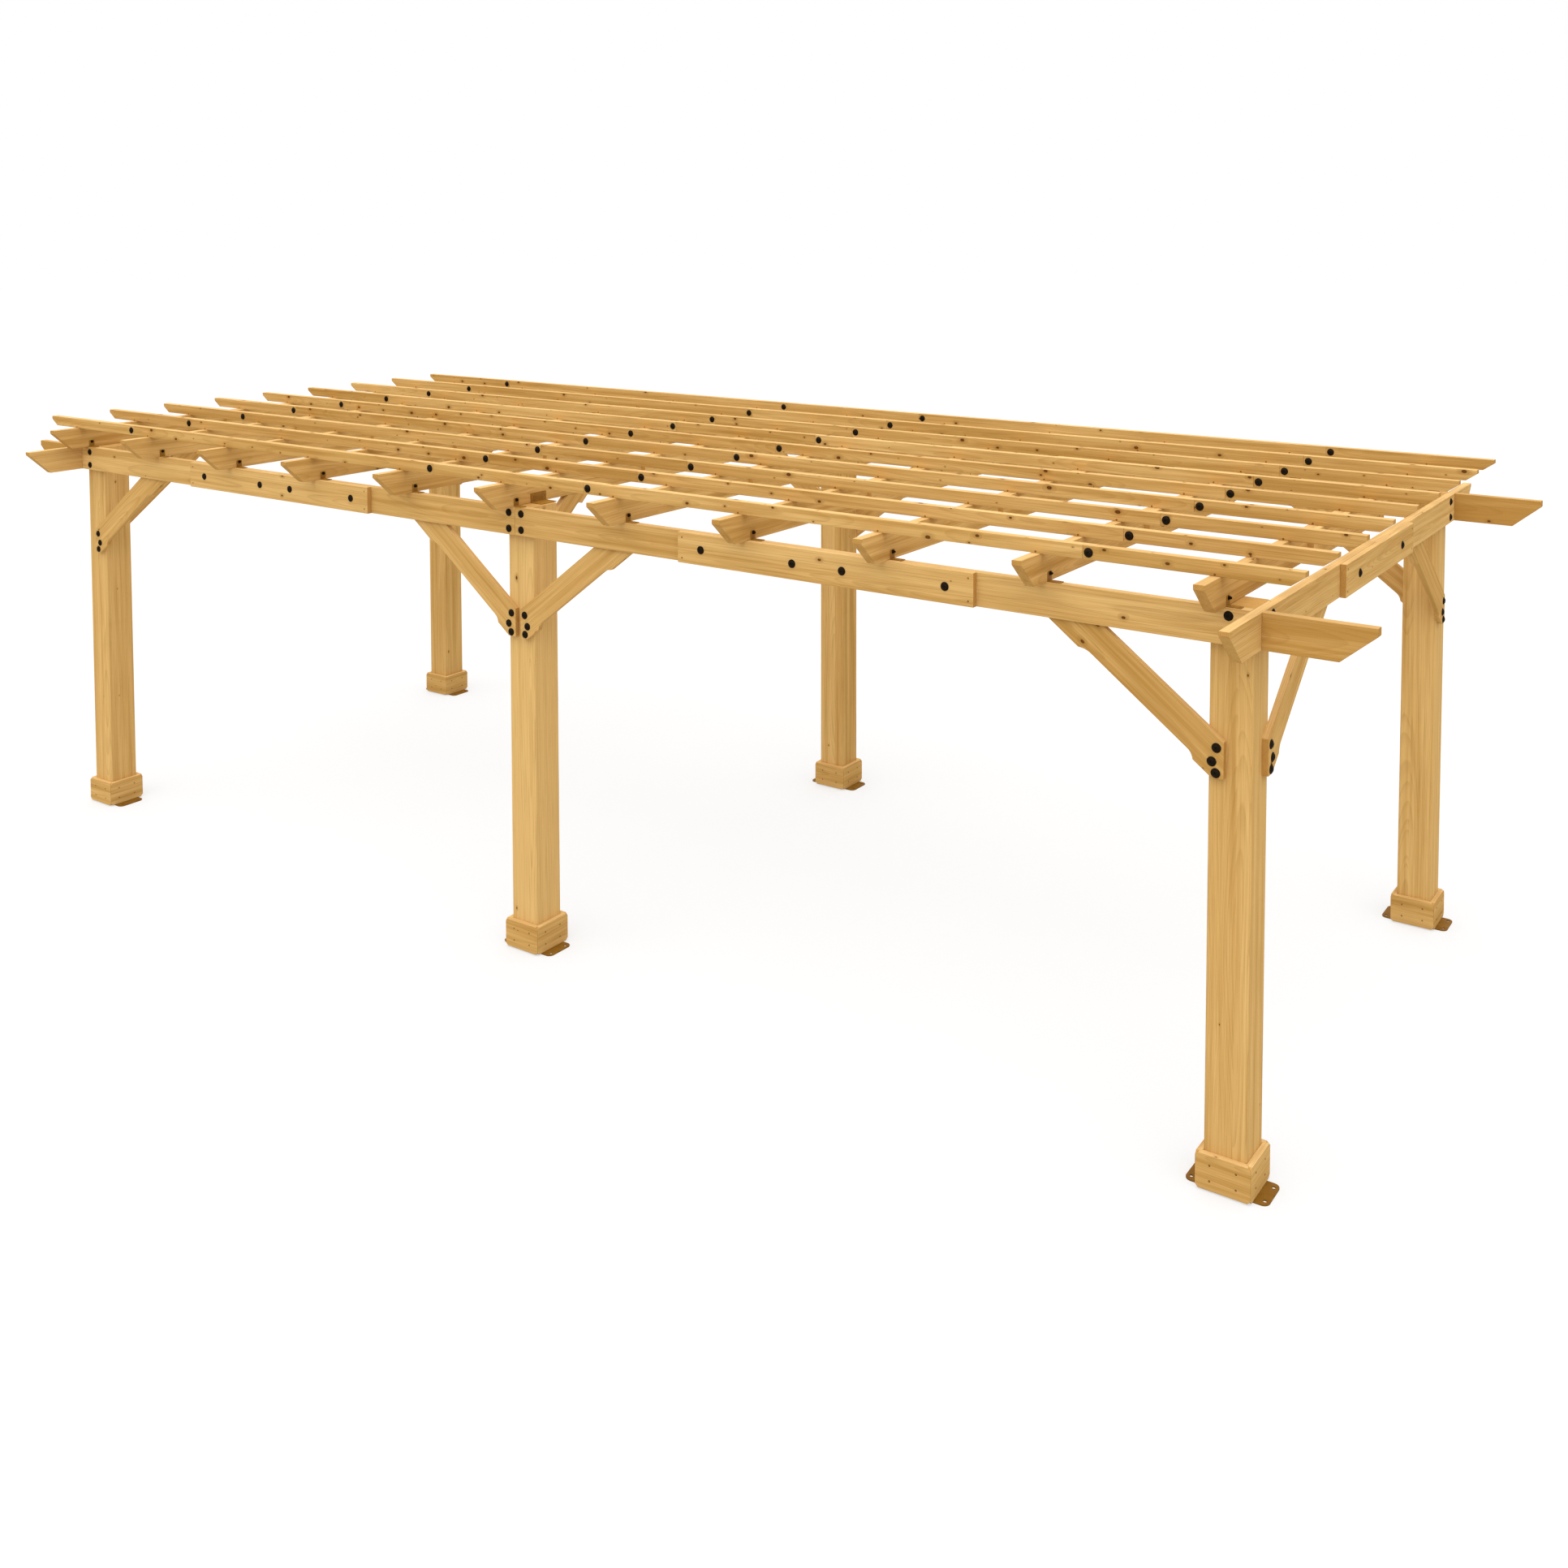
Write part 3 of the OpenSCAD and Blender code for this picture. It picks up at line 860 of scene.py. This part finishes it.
CAP_BOLT = Turned((
    Ring(16.5, -1.0), Ring(16.7, 1.2), Ring(16.3, 2.1), Ring(15.0, 2.7), Ring(13.0, 3.0), Ring(12.4, 3.6),
    Ring(11.6, 5.0), Ring(9.8, 6.3), Ring(7.4, 7.2), Ring(5.2, 7.6), Ring(4.4, 7.6),
    Ring(3.9, 7.2, Section.HEX), Ring(3.8, 4.6, Section.HEX)))
SCREW = Turned((
    Ring(3.5, -0.8), Ring(3.6, 0.2), Ring(3.2, 0.5), Ring(1.9, 0.6),
    Ring(1.7, 0.4, Section.HEX), Ring(1.5, -0.6, Section.HEX)), sides=12)
NUT = Turned((
    Ring(12.0, -0.5), Ring(12.2, 1.4), Ring(11.6, 2.0),
    Ring(8.8, 2.0, Section.HEX), Ring(9.2, 2.6, Section.HEX), Ring(9.2, 8.6, Section.HEX),
    Ring(8.0, 9.4), Ring(5.0, 9.4), Ring(5.0, 13.2), Ring(4.3, 14.0)))
BRACKET_BOLT = Turned((
    Ring(7.6, -0.3), Ring(7.8, 0.9), Ring(7.4, 1.4),
    Ring(6.4, 1.4, Section.HEX), Ring(6.7, 1.8, Section.HEX), Ring(6.7, 6.4, Section.HEX),
    Ring(5.8, 7.0), Ring(3.8, 7.0), Ring(3.8, 10.4), Ring(2.9, 11.4)))


def place_fasteners(name: str, shape: Turned, spots: Sequence[Spot],
                    material: bpy.types.Material) -> bpy.types.Object:
    """Makes one joined piece of a fastener at many spots.

    Args:
        name: Name of the piece.
        shape: The fastener.
        spots: Where it goes.
        material: Its material.

    Returns:
        The piece.
    """
    base, loops = shape.mesh()
    points: list[Point] = []
    faces: list[list[int]] = []
    for spot in spots:
        m = spot.matrix()
        first = len(points)
        points += [tuple(m @ p) for p in base]
        faces += [[first + i for i in loop] for loop in loops]
    mesh = bpy.data.meshes.new(name)
    mesh.from_pydata(points, [], faces)
    mesh.polygons.foreach_set("use_smooth", [True] * len(mesh.polygons))
    mesh.set_sharp_from_angle(angle=math.radians(CREASE_DEG))
    mesh.materials.append(material)
    piece = bpy.data.objects.new(name, mesh)
    bpy.context.scene.collection.objects.link(piece)
    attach(piece, BODY)
    LOG.info("%s: %d fasteners", name, len(spots))
    return piece


# Sub-assemblies


@dataclass
class Layout:
    """Sizes that the sub-assemblies share, as in the part's source."""

    bay_l: float = 3230.0
    bay_w: float = 2460.0
    post_w: float = 150.0
    beam_top: float = 1997.0
    beam_h: float = 125.0
    beam_t: float = 36.0
    splice_t: float = 23.0

    @property
    def long_y(self) -> float:
        """Inner face of a long beam."""
        return (self.bay_w + self.post_w) / 2

    @property
    def end_x(self) -> float:
        """Inner face of an end beam."""
        return self.bay_l + self.post_w / 2

    @property
    def beam_mid(self) -> float:
        """Mid height of the beams."""
        return self.beam_top - self.beam_h / 2

    @property
    def columns(self) -> tuple[float, float, float]:
        """X of the posts."""
        return (-self.bay_l, 0.0, self.bay_l)


@dataclass
class Posts:
    """Six glued-up square posts on their foot plates, with boards round their feet.

    The tones are those of the front posts from left to right, then of the back posts.
    """

    layout: Layout
    ease: Ease = Ease(1.6, 1.0)
    skirt_ease: Ease = Ease(1.6, 0.7)
    plate_ease: Ease = Ease(1.2, 1.2)
    tones: tuple[float, ...] = (1.6, 5.4, 0.8, 0.8, 0.8, 0.2)
    plate_t: float = 5.0
    skirt_out: float = 97.0
    screw_x: float = 46.0
    screw_z: Pair = (34.0, 88.0)
    screw_turn: float = 17.0

    def names(self) -> list[str]:
        """Row and column words of the six posts."""
        return [f"{row}_{column}" for row in ("front", "back") for column in ("left", "mid", "right")]

    def build(self, frame: dict, finishes: Finishes) -> None:
        """Dresses the posts, skirts and plates.

        Args:
            finishes: The materials.
        """
        for word, tone in zip(self.names(), self.tones):
            dress_node(frame, f"post_{word}", f"post_timber_{word}", finishes.post,
                       self.ease, tone)
            dress_node(frame, f"skirt_{word}", f"skirt_boards_{word}", finishes.board,
                       self.skirt_ease)
            dress_node(frame, f"foot_plate_{word}", f"foot_steel_{word}", finishes.plate,
                       self.plate_ease)
        place_fasteners("skirt_screws", SCREW, self.screws(), finishes.screw)

    def screws(self) -> list[Spot]:
        """Four screws on each face of each skirt."""
        spots = []
        for x in self.layout.columns:
            for y in (-self.layout.bay_w / 2, self.layout.bay_w / 2):
                for ox, oy in ((0, -1), (1, 0), (0, 1), (-1, 0)):
                    for a in (-self.screw_x, self.screw_x):
                        px = x + ox * self.skirt_out + a * abs(oy)
                        py = y + oy * self.skirt_out + a * abs(ox)
                        for z in self.screw_z:
                            turn = self.screw_turn * len(spots)
                            spots.append(Spot((px, py, self.plate_t + z), (ox, oy, 0), turn))
        return spots


@dataclass
class LongBeams:
    """Front and back beams: butted boards, splice plates and their bolts."""

    layout: Layout
    ease: Ease = Ease(2.5, 0.8)
    splice_ease: Ease = Ease(2.0, 1.0)
    tone: float = 0.6
    splice_tone: float = 1.2
    splice_l: float = 1360.0
    splice_bolts: tuple[float, ...] = (-562.0, -115.0, 115.0, 562.0)
    bolt_z: Pair = (1970.0, 1899.0)
    mid_bolt: float = 37.0
    screw_in: float = 22.0
    screw_z: float = 42.0
    screw_turns: Pair = (31.0, 11.0)

    def build(self, frame: dict, finishes: Finishes) -> None:
        """Dresses the boards and adds the fasteners.

        Args:
            finishes: The materials.
        """
        for word in ("front", "back"):
            for part in ("outer", "inner"):
                dress_node(frame, f"{word}_beam_{part}_boards", f"{word}_beam_{part}_timber", finishes.board,
                           self.ease, self.tone)
            dress_node(frame, f"{word}_splice_plates", f"{word}_splice_timber", finishes.board,
                       self.splice_ease, self.splice_tone)
        place_fasteners("long_beam_bolts", CAP_BOLT, self.bolts(), finishes.bolt)
        place_fasteners("long_splice_nuts", NUT, self.nuts(), finishes.bolt)
        place_fasteners("long_splice_screws", SCREW, self.screws(), finishes.screw)

    def bolts(self) -> list[Spot]:
        """Bolts into the posts and through the splice plates."""
        lay, spots = self.layout, []
        for s in (-1, 1):
            face = s * (lay.long_y + lay.beam_t)
            for x in (-lay.bay_l, -self.mid_bolt, self.mid_bolt, lay.bay_l):
                spots += [Spot((x, face, z), (0, s, 0), x) for z in self.bolt_z]
            for centre in (-lay.bay_l / 2, lay.bay_l / 2):
                spots += [Spot((centre + d, face + s * lay.splice_t, lay.beam_mid), (0, s, 0), d)
                          for d in self.splice_bolts]
        return spots

    def nuts(self) -> list[Spot]:
        """Nuts on the inner faces behind the splice plates."""
        lay = self.layout
        return [Spot((m * lay.bay_l / 2 + d, s * lay.long_y, lay.beam_mid), (0, -s, 0), d)
                for s in (-1, 1) for m in (-1, 1) for d in self.splice_bolts]

    def screws(self) -> list[Spot]:
        """Two screws at each end of each splice plate."""
        lay = self.layout
        out = lay.long_y + lay.beam_t + lay.splice_t
        reach = self.splice_l / 2 - self.screw_in
        return [Spot((m * lay.bay_l / 2 + e * reach, s * out, lay.beam_mid + v * self.screw_z), (0, s, 0),
                     self.screw_turns[0] * e + self.screw_turns[1] * v)
                for s in (-1, 1) for m in (-1, 1) for e in (-1, 1) for v in (-1, 1)]


@dataclass
class EndBeams:
    """Left and right beams with their splice plates, and the tails of the long beams."""

    layout: Layout
    ease: Ease = Ease(2.5, 1.2)
    splice_ease: Ease = Ease(2.0, 1.0)
    tone: float = 0.5
    tail_tone: float = -3.8
    splice_l: float = 960.0
    splice_bolt: float = 303.0
    bolt_z: Pair = (1970.0, 1899.0)
    screw_in: float = 22.0
    screw_z: float = 42.0
    screw_turns: Pair = (29.0, 13.0)

    def build(self, frame: dict, finishes: Finishes) -> None:
        """Dresses the boards and adds the fasteners.

        Args:
            finishes: The materials.
        """
        for word in ("left", "right"):
            dress_node(frame, f"{word}_end_beam", f"{word}_end_timber", finishes.board,
                       self.ease, self.tone)
            dress_node(frame, f"{word}_end_splice_plate", f"{word}_end_splice_timber", finishes.board,
                       self.splice_ease, self.tone)
            dress_node(frame, f"{word}_beam_tails", f"{word}_tail_timber", finishes.board,
                       self.ease, self.tail_tone)
        place_fasteners("end_beam_bolts", CAP_BOLT, self.bolts(), finishes.bolt)
        place_fasteners("end_splice_nuts", NUT, self.nuts(), finishes.bolt)
        place_fasteners("end_splice_screws", SCREW, self.screws(), finishes.screw)

    def bolts(self) -> list[Spot]:
        """Bolts into the corner posts and through the splice plates."""
        lay, spots = self.layout, []
        for s in (-1, 1):
            face = s * (lay.end_x + lay.beam_t)
            for y in (-lay.bay_w / 2, lay.bay_w / 2):
                spots += [Spot((face, y, z), (s, 0, 0), y + z) for z in self.bolt_z]
            spots += [Spot((face + s * lay.splice_t, d, lay.beam_mid), (s, 0, 0), d)
                      for d in (-self.splice_bolt, self.splice_bolt)]
        return spots

    def nuts(self) -> list[Spot]:
        """Nuts on the inner faces behind the splice plates."""
        lay = self.layout
        return [Spot((s * lay.end_x, d, lay.beam_mid), (-s, 0, 0), d)
                for s in (-1, 1) for d in (-self.splice_bolt, self.splice_bolt)]

    def screws(self) -> list[Spot]:
        """Two screws at each end of each splice plate."""
        lay = self.layout
        out = lay.end_x + lay.beam_t + lay.splice_t
        reach = self.splice_l / 2 - self.screw_in
        return [Spot((s * out, e * reach, lay.beam_mid + v * self.screw_z), (s, 0, 0),
                     self.screw_turns[0] * e + self.screw_turns[1] * v)
                for s in (-1, 1) for e in (-1, 1) for v in (-1, 1)]


@dataclass
class KneeBraces:
    """Twelve braces with coved lower edges and three bolts at each foot, and two inner braces."""

    layout: Layout
    ease: Ease = Ease(2.0, 2.0)
    tone: float = -0.8
    brace_t: float = 23.0
    bolts_at: tuple[Pair, ...] = ((40.0, 1520.0), (56.0, 1472.0), (42.0, 1435.0))

    def build(self, frame: dict, finishes: Finishes) -> None:
        """Dresses the braces and adds their bolts.

        Args:
            finishes: The materials.
        """
        for word in ("front", "back", "left", "right"):
            dress_node(frame, f"{word}_knee_braces", f"{word}_brace_timber", finishes.board,
                       self.ease, self.tone)
        place_fasteners("brace_bolts", CAP_BOLT, self.bolts(), finishes.bolt)

    def bolts(self) -> list[Spot]:
        """Bolts at the feet of the twelve outer braces."""
        lay, spots = self.layout, []
        for s in (-1, 1):
            face = s * (lay.long_y + self.brace_t)
            for column, way in ((-1, 1), (0, -1), (0, 1), (1, -1)):
                spots += [Spot((column * lay.bay_l + way * u, face, z), (0, s, 0), u + z)
                          for u, z in self.bolts_at]
            face = s * (lay.end_x + self.brace_t)
            for way in (-1, 1):
                spots += [Spot((face, way * (lay.bay_w / 2 - u), z), (s, 0, 0), u + z)
                          for u, z in self.bolts_at]
        return spots


@dataclass
class Rafters:
    """Eleven rafters, each of two boards with a splice plate, and their steel angles."""

    layout: Layout
    count: int = 11
    pitch: float = 646.0
    face_set: float = 10.0
    thick: float = 38.0
    height: float = 110.0
    ease: Ease = Ease(2.5, 1.2)
    splice_ease: Ease = Ease(2.0, 1.0)
    steel_ease: Ease = Ease(0.5, 0.5)
    bracket_y: float = 1323.0
    bracket_t: float = 3.0
    bolt_z: float = 29.0
    bolt_turn: float = 23.0
    screw_turn: float = 37.0
    plate_screws: tuple[Pair, ...] = (
        (-440.0, 84.0), (-410.0, 26.0), (-70.0, 33.0), (70.0, 77.0), (410.0, 26.0), (440.0, 84.0))

    def face_x(self, k: int) -> float:
        """Right face of rafter k."""
        return k * self.pitch - self.layout.bay_l - self.face_set

    def build(self, frame: dict, finishes: Finishes) -> None:
        """Dresses the boards and angles and adds the fasteners.

        Args:
            finishes: The materials.
        """
        dress_node(frame, "rafters", "rafter_timber", finishes.board, self.ease)
        dress_node(frame, "rafter_splice_plates", "rafter_splice_timber", finishes.board,
                   self.splice_ease)
        for node in ("front_rafter_brackets", "back_rafter_brackets", "post_angles"):
            dress_node(frame, node, f"{node}_steel", finishes.steel, self.steel_ease)
        place_fasteners("rafter_bracket_bolts", BRACKET_BOLT, self.bolts(), finishes.bolt)
        place_fasteners("rafter_splice_screws", SCREW, self.screws(), finishes.screw)

    def bolts(self) -> list[Spot]:
        """One bolt through the upright leg of each bracket."""
        z = self.layout.beam_top + self.bolt_z
        return [Spot((self.face_x(k) + self.bracket_t, s * self.bracket_y, z), (1, 0, 0), self.bolt_turn * k)
                for k in range(self.count) for s in (-1, 1)]

    def screws(self) -> list[Spot]:
        """Screws through the splice plates into both boards."""
        lay = self.layout
        return [Spot((self.face_x(k) + lay.splice_t, y, lay.beam_top + z), (1, 0, 0),
                     self.screw_turn * k + y)
                for k in range(self.count) for y, z in self.plate_screws]


@dataclass
class Purlins:
    """Nine rows of lapped purlins over the rafters."""

    layout: Layout
    rows: int = 9
    pitch: float = 344.0
    thick: float = 36.0
    height: float = 50.0
    laps: tuple[float, ...] = (-2755.0, -476.0, 476.0, 2755.0)
    ease: Ease = Ease(2.0, 1.6)
    screw_z: float = 5.5
    screw_turn: float = 19.0

    def row_y(self) -> list[float]:
        """Centre lines of the rows."""
        return [(k - (self.rows - 1) / 2) * self.pitch for k in range(self.rows)]

    def build(self, frame: dict, finishes: Finishes, rafters: Rafters) -> None:
        """Dresses the purlins and adds the fasteners.

        Args:
            finishes: The materials.
            rafters: The rafters that the purlins are screwed to.
        """
        for part in ("left_ends", "left_lengths", "centres", "right_lengths", "right_ends"):
            dress_node(frame, f"purlin_{part}", f"purlin_timber_{part}", finishes.batten,
                       self.ease)
        z = self.layout.beam_top + rafters.height + self.height / 2
        for name, shape, s in (("purlin_lap_bolts", CAP_BOLT, -1), ("purlin_lap_nuts", NUT, 1)):
            spots = [Spot((x, y + s * self.thick / 2, z), (0, s, 0), x + y)
                     for y in self.row_y() for x in self.laps]
            place_fasteners(name, shape, spots, finishes.bolt)
        place_fasteners("purlin_screws", SCREW, self.screws(rafters), finishes.screw)

    def screws(self, rafters: Rafters) -> list[Spot]:
        """One screw low on the front face over each rafter.

        Args:
            rafters: The rafters below.

        Returns:
            The places of the screws.
        """
        z = self.layout.beam_top + rafters.height + self.screw_z
        return [Spot((rafters.face_x(k) - rafters.thick / 2, y - self.thick / 2, z), (0, -1, 0),
                     self.screw_turn * k + y)
                for y in self.row_y() for k in range(rafters.count)]


# Studio


@dataclass
class Studio:
    """Pale floor, white surroundings, soft light and the camera of the photo."""

    floor_half_m: float = 60.0
    floor_grey: str = "#C4C4C4"
    floor_share: float = 0.45
    floor_glow: float = 1.26
    sky_level: float = 0.44
    key_level: float = 3.8
    key_from: Point = (0.12, -0.29, 0.95)
    fill_level: float = 0.8
    fill_from: Point = (-0.5, 0.6, 0.35)
    lamp_deg: float = 100.0
    focal_px: float = 1989.1273
    yaw_deg: float = 33.7776
    pitch_deg: float = 3.0902
    eye: Point = (5048.9221, -6397.7857, 3292.7587)
    shift: Pair = (-0.03, -0.31)

    def build(self) -> None:
        """Makes the floor, the light and the camera."""
        bpy.context.scene.view_settings.view_transform = "Standard"
        self.floor()
        self.sky()
        self.lamp("soft_key", self.key_from, self.key_level)
        self.lamp("soft_fill", self.fill_from, self.fill_level)
        self.camera()

    def seen(self, tree: Tree) -> Node:
        """One for rays that show the background: from the camera, a gloss or a glass.

        Args:
            tree: Node tree that asks.

        Returns:
            The number.
        """
        rays = add_node(tree, "LightPath").outputs
        gloss = add_node(tree, "Math", (rays["Is Camera Ray"], rays["Is Glossy Ray"]), operation="ADD")
        return add_node(tree, "Math", (gloss, rays["Is Transmission Ray"]), operation="ADD", use_clamp=True)

    def floor(self) -> None:
        """Makes the floor: a pale matt sheet that looks white and keeps the shadow."""
        h = self.floor_half_m
        mesh = bpy.data.meshes.new("floor")
        mesh.from_pydata([(-h, -h, 0), (h, -h, 0), (h, h, 0), (-h, h, 0)], [], [(0, 1, 2, 3)])
        material, tree = blank_material("studio_floor_paper")
        matt = add_node(tree, "BsdfDiffuse", {"Color": linear(self.floor_grey)})
        share = add_node(tree, "Math", (self.seen(tree), self.floor_share), operation="MULTIPLY")
        glow = add_node(tree, "Emission", {"Strength": self.floor_glow})
        both = add_node(tree, "MixShader", (share, matt, glow))
        add_node(tree, "OutputMaterial", {"Surface": both})
        mesh.materials.append(material)
        sheet = bpy.data.objects.new("floor", mesh)
        bpy.context.scene.collection.objects.link(sheet)

    def sky(self) -> None:
        """Makes the even surroundings: white where seen, softer as light."""
        world = bpy.data.worlds.new("studio")
        world.use_nodes = True
        tree = world.node_tree
        tree.nodes.clear()
        light = add_node(tree, "Background", {"Color": WHITE, "Strength": self.sky_level})
        white = add_node(tree, "Background", {"Color": WHITE, "Strength": 1.0})
        mix = add_node(tree, "MixShader", (self.seen(tree), light, white))
        add_node(tree, "OutputWorld", {"Surface": mix})
        bpy.context.scene.world = world

    def lamp(self, name: str, origin: Point, level: float) -> None:
        """Makes one wide soft lamp.

        Args:
            name: Name of the lamp.
            origin: Direction that its light comes from.
            level: Its strength.
        """
        light = bpy.data.lights.new(name, "SUN")
        light.energy = level
        light.angle = math.radians(self.lamp_deg)
        lamp = bpy.data.objects.new(name, light)
        lamp.rotation_euler = Vector(origin).to_track_quat("Z", "Y").to_euler()
        lamp.location = Vector(origin) * LAMP_AWAY_M
        bpy.context.scene.collection.objects.link(lamp)

    def camera(self) -> None:
        """Makes the camera of the photo."""
        data = bpy.data.cameras.new("camera")
        data.sensor_width = SENSOR_MM
        data.lens = self.focal_px / PHOTO_PX * SENSOR_MM
        data.shift_x, data.shift_y = self.shift
        data.clip_end = CLIP_END_M
        camera = bpy.data.objects.new("camera", data)
        camera.location = Vector(self.eye) * MM
        camera.rotation_euler = (math.radians(90.0 - self.pitch_deg), 0.0, math.radians(self.yaw_deg))
        bpy.context.scene.collection.objects.link(camera)
        bpy.context.scene.camera = camera


def main() -> None:
    """Builds the whole scene round the frame."""
    logging.basicConfig(level=logging.INFO, format="%(message)s")
    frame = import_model()
    Studio().build()
    finishes = Finishes.make()
    layout = Layout()
    Posts(layout).build(frame, finishes)
    LongBeams(layout).build(frame, finishes)
    EndBeams(layout).build(frame, finishes)
    KneeBraces(layout).build(frame, finishes)
    rafters = Rafters(layout)
    rafters.build(frame, finishes)
    Purlins(layout).build(frame, finishes, rafters)


if __name__ == "__main__":
    main()
